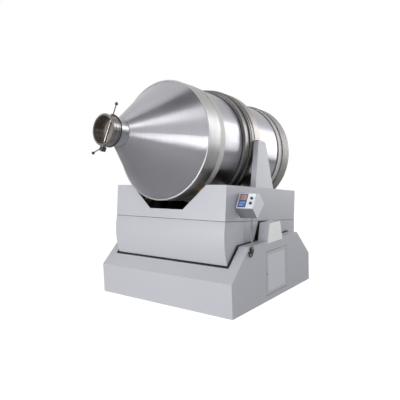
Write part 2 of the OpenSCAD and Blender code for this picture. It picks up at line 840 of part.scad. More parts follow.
module arch_bolts() color(dark_steel) rocked() both_sides() arch_bolt_places() {
  translate([0, 0, seat_gap]) cylinder(h = arch_foot_t, r = arch_bolt_r);
  translate([0, 0, arch_foot_t + seat_gap]) bolt_head(2 * arch_bolt_r);
}

// Wheel bearings on their risers
module at_wheel_bearings() {
  both_sides() front_and_rear() for (y = [inner_cross_y, outer_cross_y])
    translate([wheel_x, -y, riser_top + seat_gap]) children();
}
module wheel_bearings() color(dark_steel) rocked() at_wheel_bearings()
  pillow_block(wheel_block_h - seat_gap, wheel_block_w - over, wheel_block_l, shaft_r + run_fit);
module wheel_bearing_bolts() color(steel) rocked() at_wheel_bearings() {
  foot_t = wheel_block_h * block_foot_share;
  for (x = [-1, 1] * (wheel_block_l / 2 - 2 * block_bolt_share * wheel_block_h))
    translate([x, 0, foot_t]) bolt_head(2 * block_bolt_share * wheel_block_h);
}

// Support wheels and their shafts
module along_drum(x, z, y0, y1) {
  rocked() translate([x, y0, z]) rotate([-90, 0, 0]) children();
}
shaft_end = outer_cross_y + wheel_block_w / 2 + over;
module wheel_shaft(side) {
  along_drum(side * wheel_x, wheel_z, -shaft_end, shaft_end)
    cylinder(h = 2 * shaft_end, r = shaft_r);
}
module wheel_pair(side) {
  tyre_edge = 6;
  hub_l = 8;
  wheel_holes = 6;
  for (s = [-1, 1])
    along_drum(side * wheel_x, wheel_z, s * track_y - wheel_w / 2, 0) difference() {
      rotate_extrude() polygon([[shaft_r + seat_gap, -hub_l], [2 * shaft_r, -hub_l],
        [2 * shaft_r, 0], [wheel_r - tyre_edge, 0], [wheel_r, tyre_edge],
        [wheel_r, wheel_w - tyre_edge], [wheel_r - tyre_edge, wheel_w],
        [2 * shaft_r, wheel_w], [2 * shaft_r, wheel_w + hub_l],
        [shaft_r + seat_gap, wheel_w + hub_l]]);
      for (k = [0 : wheel_holes - 1]) rotate([0, 0, k * 360 / wheel_holes])
        translate([wheel_r / 2 + shaft_r, 0, -over])
          cylinder(h = wheel_w + 2 * over, r = tyre_edge);
    }
}
module drive_shaft() color(steel) wheel_shaft(-1);
module idle_shaft() color(steel) wheel_shaft(1);
module drive_wheels() color(track_beige) wheel_pair(-1);
module idle_wheels() color(track_beige) wheel_pair(1);

// Chain drive from the gearbox to the driven wheel shaft
chain_pitch = 19.05;
chain_roller_r = 6;
large_teeth = 26;
small_teeth = 14;
sprocket_t = 11;
sprocket_y = 330;
plate_h = 14;
plate_t = 3;
small_x = -150;
small_z = 690;
function pitch_r(teeth) = chain_pitch / (2 * sin(180 / teeth));
large_r = pitch_r(large_teeth);
small_r = pitch_r(small_teeth);
chain_d = norm([small_x + wheel_x, small_z - wheel_z]);
chain_dir = atan2(small_z - wheel_z, small_x + wheel_x);
wrap = acos((large_r - small_r) / chain_d);
chain_play = 1;
chain_half = (sprocket_t + chain_play) / 2;
chain_low = sprocket_t / 2 - chain_half - plate_t;

// Sprocket whose teeth stop short of the chain's rollers, since the chain stands still
tooth_gap_r = 9;
module sprocket(teeth, bore, phase) {
  r = pitch_r(teeth);
  difference() {
    union() {
      cylinder(h = sprocket_t, r = r - chain_roller_r + chain_play - free_gap);
      translate([0, 0, -sprocket_t]) cylinder(h = 3 * sprocket_t, r = bore + sprocket_t);
    }
    translate([0, 0, -sprocket_t - over])
      cylinder(h = 3 * sprocket_t + 2 * over, r = bore + seat_gap);
    for (k = [0 : teeth - 1]) rotate([0, 0, phase + k * 360 / teeth]) translate([r, 0, -over])
      cylinder(h = sprocket_t + 2 * over, r = tooth_gap_r, $fn = 32);
  }
}
// On this face local X runs to the right and local Y runs down
module at_large_sprocket() {
  rocked() translate([-wheel_x, sprocket_y, wheel_z]) rotate([-90, 0, 0]) children();
}
module at_small_sprocket() {
  rocked() translate([small_x, sprocket_y, small_z]) rotate([-90, 0, 0]) children();
}
module large_sprocket() color(dark_steel) at_large_sprocket()
  sprocket(large_teeth, shaft_r, wrap - chain_dir);
gear_shaft_r = 18;
module small_sprocket() color(dark_steel) at_small_sprocket()
  sprocket(small_teeth, gear_shaft_r, -chain_dir - wrap);

// Band of the chain's side plates, drawn on the large sprocket's face
module chain_band(z) {
  half = plate_h / 2;
  translate([0, 0, z]) linear_extrude(height = plate_t) rotate(-chain_dir) difference() {
    chain_hull(large_r + half, small_r + half);
    chain_hull(large_r - half, small_r - half);
  }
}
arc_steps = 24;
module chain_hull(a, b) {
  polygon(concat(
    [for (k = [0 : arc_steps]) let (t = wrap + k * (360 - 2 * wrap) / arc_steps)
      a * [cos(t), sin(t)]],
    [for (k = [0 : arc_steps]) let (t = k * 2 * wrap / arc_steps - wrap)
      [chain_d, 0] + b * [cos(t), sin(t)]]));
}
module chain_roller(p) {
  translate([p[0], p[1], chain_low + plate_t / 2])
    cylinder(h = 2 * chain_half + plate_t, r = chain_roller_r - chain_play, $fn = 24);
}
module drive_chain() color(dark_steel) at_large_sprocket() {
  run = chain_d * sin(wrap);
  run_links = round(run / chain_pitch);
  large_links = floor((360 - 2 * wrap) / (360 / large_teeth));
  small_links = floor(2 * wrap / (360 / small_teeth));
  chain_band(chain_low);
  chain_band(sprocket_t / 2 + chain_half);
  rotate(-chain_dir) {
    for (s = [-1, 1]) for (k = [2 : run_links - 2]) {
      a = large_r * [cos(wrap), s * sin(wrap)];
      b = [chain_d, 0] + small_r * [cos(wrap), s * sin(wrap)];
      chain_roller(a + (b - a) * k / run_links);
    }
    for (k = [0 : large_links]) {
      a = wrap + k * 360 / large_teeth;
      chain_roller(large_r * [cos(a), sin(a)]);
    }
    for (k = [0 : small_links]) {
      a = k * 360 / small_teeth - wrap;
      chain_roller([chain_d, 0] + small_r * [cos(a), sin(a)]);
    }
  }
}

// Shelf that hangs under the frame and carries the drum's gearbox and motor
drum_gear_half = 75;
drum_gear_l = 150;
drum_gear_y = sprocket_y - 2 * sprocket_t - drum_gear_l;
shelf_low = small_z - drum_gear_half - seat_gap;
module drive_shelf() {
  plate = 14;
  out = drum_gear_half + 2 * plate;
  y0 = thrust_rear_y + lug_beam_w / 2 - plate;
  y1 = inner_cross_y - cross_w / 2 + plate;
  bar([small_x - out, y0, shelf_low - plate], [small_x + out, y1, shelf_low]);
  for (x = [small_x - out, small_x + out - plate]) {
    bar([x, y0, shelf_low - over], [x + plate, y0 + 3 * plate, beam_z + over]);
    bar([x, y1 - 3 * plate, shelf_low - over], [x + plate, y1, beam_z + over]);
  }
}
module drum_gearbox() color(motor_blue) rocked() {
  y0 = drum_gear_y;
  cap_share = 0.6;
  bar([small_x - drum_gear_half, y0, shelf_low + seat_gap],
      [small_x + drum_gear_half, y0 + drum_gear_l, small_z + drum_gear_half * cap_share]);
  translate([small_x, y0 + drum_gear_l - over, small_z]) rotate([-90, 0, 0])
    cylinder(h = 5 * sprocket_t + over, r = gear_shaft_r);
}
module drum_motor() color(motor_blue) rocked() {
  motor_r = 72;
  motor_l = 240;
  translate([small_x + drum_gear_half + seat_gap, drum_gear_y + drum_gear_l / 2,
             shelf_low + motor_r + over]) finned_motor(motor_r, motor_l);
}

// Thrust wheels that hold the centre ring between them
thrust_drop = 10;
thrust_z = drum_z - barrel_r - thrust_drop;
thrust_t = 34;
thrust_pin_r = 12;
module thrust_wheel(y) color(track_beige) rocked() translate([0, y, thrust_z - thrust_t]) {
  edge = 3;
  rotate_extrude() polygon([[thrust_pin_r + run_fit, 0], [thrust_r - edge, 0], [thrust_r, edge],
    [thrust_r, thrust_t - edge], [thrust_r - edge, thrust_t], [thrust_pin_r + run_fit, thrust_t]]);
}
module front_thrust_wheel() thrust_wheel(thrust_front_y);
module rear_thrust_wheel() thrust_wheel(thrust_rear_y);
module thrust_pins() color(steel) rocked() for (y = [thrust_front_y, thrust_rear_y])
  translate([0, y, deck_z + seat_gap]) {
    cylinder(h = thrust_z - thrust_t - free_gap - deck_z - seat_gap, r = 2 * thrust_pin_r);
    cylinder(h = thrust_z + over - deck_z - seat_gap, r = thrust_pin_r);
  }

// Drum shell, one turned skin from the mouth's ferrule to the rear end
module drum_shell() color(steel) on_drum_axis() {
  w = drum_wall;
  slant = norm([front_cone_l, barrel_r - neck_r]) / front_cone_l;
  rotate_extrude($fn = 128) polygon([
    [mouth_bore_r, -neck_end], [ferrule_r, -neck_end], [ferrule_r, ferrule_l - neck_end],
    [neck_r, ferrule_l - neck_end], [neck_r, -neck_base], [barrel_r, -barrel_front],
    [barrel_r, barrel_rear], [rear_end_r, barrel_rear + rear_cone_l],
    [0, barrel_rear + rear_cone_l], [0, barrel_rear + rear_cone_l - w],
    [rear_end_r - w / 2, barrel_rear + rear_cone_l - w], [barrel_in, barrel_rear - w / 2],
    [barrel_in, w / 2 - barrel_front], [mouth_bore_r, w * slant / 2 - neck_base]]);
}

// Bands, tracks and the centre ring round the barrel
fit_r = barrel_r + seat_gap / 2;
module front_band() color(steel)
  drum_ring(-barrel_front, barrel_front - track_y - track_w / 2 - seat_gap,
            barrel_r + front_band_h, fit_r);
module front_track() color(track_beige)
  drum_ring(-track_y - track_w / 2, track_w, track_r, fit_r);
module rear_track() color(track_beige)
  drum_ring(track_y - track_w / 2, track_w, track_r, fit_r);
module rear_band() color(steel)
  drum_ring(track_y + track_w / 2 + seat_gap, barrel_rear - track_y - track_w / 2 - seat_gap,
            barrel_r + rear_band_h, fit_r);
// The ring's steps, as shares of its width and of its height
ring_step_shares = [[0, 0.7], [0.43, 0.5], [0.49, 1], [0.58, 0.6], [0.68, 1], [0.77, 0.9],
                    [1, 0]];
module centre_ring() color(steel) on_drum_axis(-ring_y - ring_w / 2) {
  steps = len(ring_step_shares) - 1;
  rotate_extrude($fn = 128) polygon(concat([[fit_r, 0]],
    [for (k = [0 : steps - 1]) for (e = [0, 1])
      [barrel_r + ring_h * ring_step_shares[k][1], ring_w * ring_step_shares[k + e][0]]],
    [[fit_r, ring_w]]));
}

// Lifting blades welded along the inside of the barrel
blade_count = 4;
blade_t = 5;
blade_l = 1200;
module lifting_blades() color(steel) on_drum_axis() intersection() {
  cylinder(h = blade_l, r = barrel_in - free_gap, center = true);
  for (k = [0 : blade_count - 1]) rotate([0, 0, (k + 1 / 2) * 360 / blade_count])
    translate([barrel_in - blade_h, -blade_t / 2, -blade_l / 2])
      cube([2 * blade_h, blade_t, blade_l]);
}

// Gasket and valve body at the mouth
stem_r = 9;
boss_r = 17;
boss_h = 8;
module mouth_gasket() color(black)
  drum_ring(seat_gap / 2 - valve_rear, gasket_t - seat_gap, ferrule_r - over, mouth_bore_r);
module valve_body() color(steel) {
  lip = 5;
  difference() {
    union() {
      on_drum_axis(-mouth_y) rotate_extrude() polygon([[mouth_bore_r, 0], [valve_r - lip, 0],
        [valve_r, lip], [valve_r, 3 * lip], [valve_r - lip / 2, 3 * lip],
        [valve_r - lip / 2, valve_l - 3 * lip], [valve_r, valve_l - 3 * lip], [valve_r, valve_l],
        [mouth_bore_r, valve_l]]);
      at_stem() difference() {
        rotate([0, 90, 0]) cylinder(h = 2 * (valve_r + boss_h), r = boss_r, center = true);
        rotate([0, 90, 0]) cylinder(h = 2 * (valve_r - lip), r = boss_r + over, center = true);
      }
    }
    at_stem() rotate([0, 90, 0])
      cylinder(h = 2 * (valve_r + boss_h + over), r = stem_r + run_fit, center = true);
  }
}

// The valve stem's own frame, X along the stem and Y along the drum
module at_stem() {
  rocked() translate([0, -stem_y, drum_z]) rotate([0, -stem_angle, 0]) children();
}
disc_t = 6;
hub_r = 15;
module valve_disc() color(steel) at_stem() difference() {
  union() {
    rotate([-90, 0, 0]) cylinder(h = disc_t, r = mouth_bore_r - over, center = true);
    rotate([0, 90, 0]) cylinder(h = 2 * (mouth_bore_r - hub_r), r = hub_r, center = true);
  }
  rotate([0, 90, 0]) cylinder(h = 3 * mouth_bore_r, r = stem_r + seat_gap / 2, center = true);
}
block_half = 20;
module valve_stem() color(steel) at_stem() {
  rotate([0, 90, 0]) translate([0, 0, -valve_r - boss_h - over])
    cylinder(h = 2 * (valve_r + boss_h + over), r = stem_r);
  low = valve_r + boss_h + over - seat_gap;
  translate([-low - 2 * block_half, -block_half, -block_half])
    cube([2 * block_half, 2 * block_half, 2 * block_half]);
}
lever_r = 4.5;
lever_lean = 48;
lever_l = 118;
module valve_levers() color(dark_steel) at_stem() {
  top = valve_r + boss_h + over + seat_gap;
  low = valve_r + boss_h + over + block_half;
  ball_at = [top + handle_l - boss_h - ball_r, 0, 0];
  rod_between([top, 0, 0], ball_at, lever_r);
  translate(ball_at) sphere(r = ball_r);
  start = [-low, 0, block_half + seat_gap];
  tip = start + lever_l * [-cos(lever_lean), 0, sin(lever_lean)];
  rod_between(start + [0, 0, lever_r], tip, lever_r);
  translate(tip) sphere(r = ball_r);
  translate(start) cylinder(h = 2 * lever_r, r = 2 * lever_r);
}

// Console post, its bracket on the base's wall and its conduit
post_low_z = 535;
bracket_h = 62;
bracket_half = 34;
bracket_t = 5;
clamp_wall = 7;
clamp_r = console_post_r + clamp_wall;
bracket_bolt_share = 0.6;
conduit_r = 6;
loop_r = 26;
gland_r = 10;
module console_post() color(dark_steel)
  translate([console_x, -console_y, post_low_z])
    cylinder(h = console_z - post_low_z + post_socket - seat_gap, r = console_post_r);
bracket_mid = ledge_z - bracket_h / 2 - base_t;
bracket_bolt_y = -console_y - bracket_half * bracket_bolt_share;
module bracket_holes() {
  for (z = [-1, 1] * bracket_h / 4)
    translate([base_half - base_t - over, bracket_bolt_y, bracket_mid + z])
      rotate([0, 90, 0]) cylinder(h = base_t + 2 * over, r = bracket_t / 2 + seat_gap);
}
module console_bracket() color(steel) difference() {
  union() {
    bar([base_half + seat_gap, -console_y - bracket_half, bracket_mid - bracket_h / 2],
        [base_half + bracket_t, -console_y + bracket_half, bracket_mid + bracket_h / 2]);
    translate([console_x, -console_y, bracket_mid - bracket_h / 4])
      cylinder(h = bracket_h / 2, r = clamp_r);
    for (z = [-1, 1] * bracket_h / 4)
      translate([base_half + bracket_t - over, bracket_bolt_y, bracket_mid + z])
        rotate([0, 90, 0]) bolt_head(bracket_t);
  }
  translate([console_x, -console_y, 0])
    cylinder(h = ledge_z + over, r = console_post_r + seat_gap / 2);
  bar([base_half - clamp_r, -console_y - bracket_half - over, 0],
      [base_half + seat_gap, -console_y + bracket_half + over, ledge_z]);
}

// The conduit leaves the post's foot, turns up towards the mouth and enters a gland
gland_y = -console_y - 2 * loop_r;
gland_rise = 6;
gland_wall = 2;
gland_face = 3;
gland_z = post_low_z + gland_rise;
module gland_hole() {
  translate([base_half - base_t - over, gland_y, gland_z]) rotate([0, 90, 0])
    cylinder(h = base_t + 2 * over, r = gland_r - gland_wall);
}
module console_conduit() color(black) {
  drop = 8;
  translate([console_x, -console_y, post_low_z - drop]) cylinder(h = drop - seat_gap, r = conduit_r);
  translate([console_x, -console_y - loop_r, post_low_z - drop]) rotate([-90, 0, 90])
    rotate_extrude(angle = 180) translate([loop_r, 0]) circle(r = conduit_r, $fn = 24);
  translate([console_x, gland_y, post_low_z - drop])
    cylinder(h = gland_z - post_low_z + drop, r = conduit_r);
  translate([console_x, gland_y, gland_z]) sphere(r = conduit_r);
  translate([base_half + gland_face + seat_gap, gland_y, gland_z]) rotate([0, 90, 0])
    cylinder(h = console_x - base_half - gland_face - seat_gap, r = conduit_r);
}
module conduit_gland() color(dark_steel)
  translate([base_half, gland_y, gland_z]) rotate([0, 90, 0]) {
    translate([0, 0, seat_gap]) cylinder(h = gland_face - seat_gap, r = gland_r, $fn = 6);
    translate([0, 0, -base_t]) cylinder(h = base_t + over, r = gland_r - gland_wall - seat_gap);
  }

// Console box with its face cut for the panel's pieces
module console_box() color(painted) difference() {
  across(console_left, console_left + console_w)
    polygon([nose, crown, crown_back, back, belly]);
  translate([console_x, -console_y, console_z - over])
    cylinder(h = post_socket + over, r = console_post_r + seat_gap / 2);
}

// The face's own frame, X to the right, Y up the face, Z out of it
module on_face(x, y, z) {
  translate([console_left, nose[0], nose[1]]) rotate([90 - face_lean, 0, 0])
    translate([x, y, z]) children();
}
panel_w = console_w - 2 * panel_margin;
panel_l = face_l - 2 * panel_margin;
knob_x = knob_x_share * console_w;
module console_panel() color("white") difference() {
  on_face(panel_margin, panel_margin, seat_gap) cube([panel_w, panel_l, panel_t - seat_gap]);
  for (share = [upper_knob_share, lower_knob_share])
    on_face(knob_x, share * face_l, -over)
      cylinder(h = panel_t + 2 * over, r = knob_shaft_r + run_fit);
}
bezel_x = bezel_left_share * console_w;
bezel_y = (face_l - bezel_h) / 2;
module screen_bezel() color(black) difference() {
  on_face(bezel_x, bezel_y, panel_t + seat_gap) cube([bezel_w, bezel_h, bezel_t]);
  for (s = [0, 1]) on_face(bezel_x + bezel_rim, display_y(s), panel_t + bezel_t - display_t)
    cube([bezel_w - 2 * bezel_rim, display_h, display_t + over]);
}
display_h = (bezel_h - 3 * bezel_rim) / 2;
function display_y(s) = bezel_y + bezel_rim + s * (display_h + bezel_rim);
module display(s) on_face(bezel_x + bezel_rim + seat_gap, display_y(s) + seat_gap,
                          panel_t + bezel_t - display_t + seat_gap)
  cube([bezel_w - 2 * bezel_rim - 2 * seat_gap, display_h - 2 * seat_gap, display_t - 2 * seat_gap]);
module upper_display() color([0.75, 0.66, 0.68]) display(1);
module lower_display() color([0.35, 0.56, 0.80]) display(0);
module knob(share) on_face(knob_x, share * face_l, panel_t) {
  skirt_share = 0.35;
  cap_share = 0.75;
  grip_share = 0.2;
  translate([0, 0, free_gap]) {
    cylinder(h = knob_h * skirt_share, r = knob_r);
    cylinder(h = knob_h, r = knob_r * cap_share);
    translate([-knob_r * grip_share, -knob_r * cap_share, knob_h / 2])
      cube([2 * knob_r * grip_share, 2 * knob_r * cap_share, knob_h * cap_share]);
  }
  translate([0, 0, seat_gap - panel_t]) cylinder(h = panel_t + free_gap, r = knob_shaft_r);
}
module speed_knob() color(black) knob(upper_knob_share);
module selector_knob() color(black) knob(lower_knob_share);

base_frame();
base_cover();
right_tower_cover();
left_tower_cover();
pivot_bearings();
pivot_bearing_bolts();
swing_gearbox();
swing_motor();
console_post();
console_bracket();
console_box();
console_panel();
screen_bezel();
upper_display();
lower_display();
console_conduit();
conduit_gland();
service_door();
door_latch();
speed_knob();
selector_knob();
swing_crank();
connecting_rod();
rod_pin();
swing_frame();
upper_casing();
front_skirt();
rear_skirt();
right_post();
left_post();
arch_guard();
arch_bolts();
trunnions();
wheel_bearings();
wheel_bearing_bolts();
drum_gearbox();
drum_motor();
drive_chain();
thrust_pins();
drive_shaft();
drive_wheels();
large_sprocket();
idle_shaft();
idle_wheels();
small_sprocket();
front_thrust_wheel();
rear_thrust_wheel();
drum_shell();
front_band();
rear_band();
front_track();
rear_track();
centre_ring();
lifting_blades();
mouth_gasket();
valve_body();
valve_disc();
valve_stem();
valve_levers();
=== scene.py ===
import math

import bmesh
import bpy
from mathutils import Matrix, Vector


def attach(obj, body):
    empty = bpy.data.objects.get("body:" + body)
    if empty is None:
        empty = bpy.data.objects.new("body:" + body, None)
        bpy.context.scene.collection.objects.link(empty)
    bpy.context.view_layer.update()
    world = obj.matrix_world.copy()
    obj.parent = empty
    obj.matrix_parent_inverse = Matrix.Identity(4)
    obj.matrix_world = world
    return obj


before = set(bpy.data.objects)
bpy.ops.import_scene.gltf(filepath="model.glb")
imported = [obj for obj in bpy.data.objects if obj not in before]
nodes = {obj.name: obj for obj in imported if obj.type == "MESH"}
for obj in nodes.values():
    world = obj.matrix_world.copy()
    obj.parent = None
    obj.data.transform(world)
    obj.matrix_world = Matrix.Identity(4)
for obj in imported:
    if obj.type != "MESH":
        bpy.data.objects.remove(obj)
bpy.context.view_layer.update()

# The rocking axis and the level pose that everything on the swing is drawn in
PIVOT = Vector((0, 0, 0.657))
TILT = math.radians(6)
LEVEL = Matrix.Translation(PIVOT) @ Matrix.Rotation(-TILT, 4, "X") @ Matrix.Translation(-PIVOT)
DRUM_Z = 1.53101

# Faces of the upper casing, the skirts and the base cover, and the sheet's depth
HALF_X = 0.720
HALF_Y = 0.6945
SKIRT_R = 0.703473
BASE_X = 0.850
BASE_Y = 0.799473
LEDGE_Y = 0.500
LEDGE_Z = 0.590
BASE_RUN = (BASE_Y - LEDGE_Y) / 0.280
SKIN = 0.0015
SEAM_Z = 0.769
TOP_Z = 1.101


# Materials: tones as colours and factors, patterns as repeats in a metre
CAST_GRAIN = 420
PAINT_CLOUDS = 3.2
PAINT_GRAIN = 700
PAINT_DRIFT = 0.015
PAINT_ROUGH = (0.36, 0.44)
INNER_PAINTED_SHADE = (0.012, 0.011, 0.010)
BRUSH_WANDER = 2.2
STEEL_CLOUDS = 2.6
STAIN_RANGE = (0.42, 0.75)
STAIN_BROWN = (0.20, 0.17, 0.14)
QUARTER_TURN = 0.25


class Nodes:
    """A node tree with short calls for adding and joining nodes."""

    def __init__(self, name):
        self.mat = bpy.data.materials.new(name)
        self.mat.use_nodes = True
        self.tree = self.mat.node_tree
        self.shader = self.tree.nodes["Principled BSDF"]

    def add(self, kind, inputs=None, **props):
        node = self.tree.nodes.new(kind)
        for key, value in props.items():
            setattr(node, key, value)
        for key, value in (inputs or {}).items():
            if isinstance(value, bpy.types.NodeSocket):
                self.tree.links.new(value, node.inputs[key])
            else:
                node.inputs[key].default_value = value
        return node

    def math(self, operation, a, b=0.0):
        return self.add("ShaderNodeMath", {0: a, 1: b}, operation=operation).outputs[0]

    def link(self, socket, name):
        self.tree.links.new(socket, self.shader.inputs[name])


def level_point(n):
    """The shaded point in metres, turned back to the level pose of the swing."""
    coord = n.add("ShaderNodeTexCoord").outputs["Object"]
    turned = Matrix.Rotation(TILT, 4, "X")
    offset = PIVOT - turned @ PIVOT
    return n.add("ShaderNodeMapping", {"Vector": coord, "Location": offset,
                                       "Rotation": (TILT, 0, 0)}).outputs[0]


def noise(n, vector, scale, stretch=(1, 1, 1), detail=4.0):
    mapped = n.add("ShaderNodeMapping", {"Vector": vector, "Scale": stretch}).outputs[0]
    return n.add("ShaderNodeTexNoise", {"Vector": mapped, "Scale": scale,
                                        "Detail": detail}).outputs[0]


def spread(n, value, low, high, source=(0.3, 0.7)):
    return n.add("ShaderNodeMapRange", {0: value, 1: source[0], 2: source[1],
                                        3: low, 4: high}).outputs[0]


def blend(n, factor, a, b):
    mix = n.add("ShaderNodeMix", data_type="RGBA")
    for socket, value in ((mix.inputs[0], factor), (mix.inputs[6], a), (mix.inputs[7], b)):
        if isinstance(value, bpy.types.NodeSocket):
            n.tree.links.new(value, socket)
        elif socket == mix.inputs[0]:
            socket.default_value = value
        else:
            socket.default_value = (*value, 1)
    return mix.outputs[2]


def relief(n, height, strength, distance):
    bump = n.add("ShaderNodeBump", {"Height": height, "Strength": strength,
                                    "Distance": distance})
    n.link(bump.outputs[0], "Normal")


def shade(c, k):
    return tuple(min(1, v * k) for v in c)


def plain(name, colour, rough, metal=0.0, vary=0.06, coarse=9.0, coat=0.0):
    """A painted, moulded or cast surface with slight unevenness."""
    n = Nodes(name)
    n.shader.inputs["Metallic"].default_value = metal
    n.shader.inputs["Coat Weight"].default_value = coat
    point = n.add("ShaderNodeTexCoord").outputs["Object"]
    patches = noise(n, point, coarse)
    n.link(blend(n, patches, shade(colour, 1 - vary), shade(colour, 1 + vary)), "Base Color")
    n.link(spread(n, patches, rough * 0.9, rough * 1.12), "Roughness")
    relief(n, noise(n, point, CAST_GRAIN), 0.08, 0.0004)
    return n.mat


def below(n, value, limit):
    return n.math("LESS_THAN", value, limit)


def inside_casing(n, x, y, z):
    """1 on the inner faces of the upper casing."""
    return (below(n, x, HALF_X - SKIN), below(n, y, HALF_Y - SKIN), below(n, z, TOP_Z - SKIN))


def inside_skirt(n, x, y, z):
    """1 on the inner faces of the curved skirts."""
    drop = n.math("SUBTRACT", z, PIVOT.z)
    reach = n.math("SQRT", n.math("ADD", n.math("MULTIPLY", y, y), n.math("MULTIPLY", drop, drop)))
    return (below(n, x, HALF_X - SKIN), below(n, reach, SKIRT_R - SKIN))


def inside_base(n, x, y, z):
    """1 on the inner faces of the base cover."""
    slope = n.math("MULTIPLY_ADD", z, -BASE_RUN)
    slope.node.inputs[2].default_value = LEDGE_Y + LEDGE_Z * BASE_RUN - 2 * SKIN
    return (below(n, x, BASE_X - SKIN), below(n, z, LEDGE_Z - SKIN),
            below(n, y, n.math("MINIMUM", slope, BASE_Y - SKIN)))


def sheet_paint(name, colour, rocking, inside=None, patch=None, lift=1.0):
    """Light paint on sheet, painted shade in near black on a casing's inner faces, and another
    shade on a patch.
    """
    n = Nodes(name)
    point = level_point(n) if rocking else n.add("ShaderNodeTexCoord").outputs["Object"]
    patches = noise(n, point, PAINT_CLOUDS)
    fine = noise(n, point, PAINT_GRAIN, detail=2)
    tone = blend(n, patches, shade(colour, 1 - PAINT_DRIFT), shade(colour, 1 + PAINT_DRIFT))
    axes = n.add("ShaderNodeSeparateXYZ", {0: point}).outputs
    if patch:
        inner = 1.0
        for axis, (low, high) in zip(axes, patch):
            over = n.math("GREATER_THAN", axis, low)
            inner = n.math("MULTIPLY", n.math("MULTIPLY", over, below(n, axis, high)), inner)
        tone = blend(n, inner, tone, shade(colour, lift))
    # Painted shade: the inner faces of the casing, skirts or base cover are painted near black for
    # the shade inside them.
    if inside:
        x, y = (n.math("ABSOLUTE", axes[k]) for k in (0, 1))
        inner_shade = 1.0
        for test in inside(n, x, y, axes[2]):
            inner_shade = n.math("MULTIPLY", test, inner_shade)
        tone = blend(n, inner_shade, tone, INNER_PAINTED_SHADE)
    n.link(tone, "Base Color")
    n.link(spread(n, patches, *PAINT_ROUGH), "Roughness")
    relief(n, fine, 0.06, 0.0003)
    return n.mat


def turned_steel(name, colour, rough, bend, lines, stain=0.0, streak=260.0):
    """Stainless steel brushed round the drum's axis: bend is how far its shine is drawn out."""
    n = Nodes(name)
    n.shader.inputs["Metallic"].default_value = 1.0
    n.shader.inputs["Anisotropic"].default_value = bend
    n.shader.inputs["Anisotropic Rotation"].default_value = QUARTER_TURN
    point = level_point(n)
    brushed = noise(n, point, 1.0, (BRUSH_WANDER, streak, BRUSH_WANDER), 3)
    cloudy = noise(n, point, STEEL_CLOUDS, detail=5)
    tone = blend(n, spread(n, brushed, 0, 1), shade(colour, 1 - lines), shade(colour, 1 + lines))
    if stain:
        tone = blend(n, spread(n, cloudy, 0, stain, STAIN_RANGE), tone, STAIN_BROWN)
    n.link(tone, "Base Color")
    n.link(spread(n, cloudy, rough * 0.88, rough * 1.15), "Roughness")
    tangent = n.add("ShaderNodeTangent", direction_type="RADIAL", axis="Y")
    n.link(tangent.outputs[0], "Tangent")
    relief(n, brushed, 0.10, 0.0004)
    return n.mat


def drawn_steel(name, colour, rough, scale=90.0, vary=0.15):
    """Bright steel with a fine even grain."""
    n = Nodes(name)
    n.shader.inputs["Metallic"].default_value = 1.0
    point = n.add("ShaderNodeTexCoord").outputs["Object"]
    grain = noise(n, point, scale, (1, 1, 6))
    n.link(blend(n, grain, shade(colour, 1 - vary), shade(colour, 1 + vary)), "Base Color")
    n.link(spread(n, grain, rough * 0.8, rough * 1.2), "Roughness")
    relief(n, grain, 0.05, 0.0003)
    return n.mat


PAINT = (0.547, 0.553, 0.594)
FAR = 9
ANY = (-FAR, FAR)
TOWER_FACE = 0.8524
TOWER_FACE_PAINTED_LIGHT = 1.58
DOOR_PANEL = (ANY, (-0.152, 0.206), (0.092, 0.453))
CONSOLE_PAINTED_LIGHT_SIDE = ((0.9215, FAR), ANY, ANY)
casing_paint = sheet_paint("casing_paint", PAINT, True, inside_casing)
skirt_paint = sheet_paint("skirt_paint", PAINT, True, inside_skirt)
base_paint = sheet_paint("base_paint", PAINT, False, inside_base)
# Painted light: the tower covers are painted lighter all over, and lighter again on their outer
# faces, standing in for light on them.
tower_painted_light = shade(PAINT, 1.24)
right_tower_paint = sheet_paint("right_tower_paint", tower_painted_light, False, None,
                                ((TOWER_FACE, FAR), ANY, ANY), TOWER_FACE_PAINTED_LIGHT)
left_tower_paint = sheet_paint("left_tower_paint", tower_painted_light, False, None,
                               ((-FAR, -TOWER_FACE), ANY, ANY), TOWER_FACE_PAINTED_LIGHT)
post_paint = sheet_paint("post_paint", shade(PAINT, 1.06), True)
door_paint = sheet_paint("door_paint", shade(PAINT, 1.02), False, None, DOOR_PANEL, 1.24)
# Painted light: the console box's right face is painted lighter, standing in for light on that
# side.
console_paint = sheet_paint("console_paint", (0.60, 0.60, 0.64), False, None, CONSOLE_PAINTED_LIGHT_SIDE, 1.28)
drum_steel = turned_steel("drum_steel", (0.38, 0.376, 0.405), 0.32, 0.7, 0.07, streak=500.0)
band_steel = turned_steel("band_steel", (0.400, 0.396, 0.400), 0.42, 0.35, 0.20)
rear_steel = turned_steel("rear_steel", (0.27, 0.265, 0.26), 0.60, 0.2, 0.22)
ring_steel = turned_steel("ring_steel", (0.21, 0.205, 0.20), 0.38, 0.35, 0.35, 0.30, 420)
arch_steel = turned_steel("arch_steel", (0.34, 0.32, 0.305), 0.42, 0.3, 0.2, 0.4)
track_finish = plain("track_finish", (0.60, 0.585, 0.56), 0.50, 0.15, 0.12, 30)
wheel_finish = plain("wheel_finish", (0.34, 0.22, 0.15), 0.55, 0, 0.12, 40)
frame_paint = plain("frame_paint", (0.030, 0.028, 0.028), 0.6)
motor_paint = plain("motor_paint", (0.10, 0.14, 0.20), 0.45)
shaft_steel = drawn_steel("shaft_steel", (0.50, 0.50, 0.52), 0.30)
bolt_zinc = drawn_steel("bolt_zinc", (0.60, 0.60, 0.63), 0.28)
bearing_iron = plain("bearing_iron", (0.07, 0.075, 0.085), 0.55)
chain_steel = drawn_steel("chain_steel", (0.12, 0.11, 0.10), 0.42)
valve_steel = turned_steel("valve_steel", (0.20, 0.19, 0.185), 0.26, 0.35, 0.35, 0.45, 160)
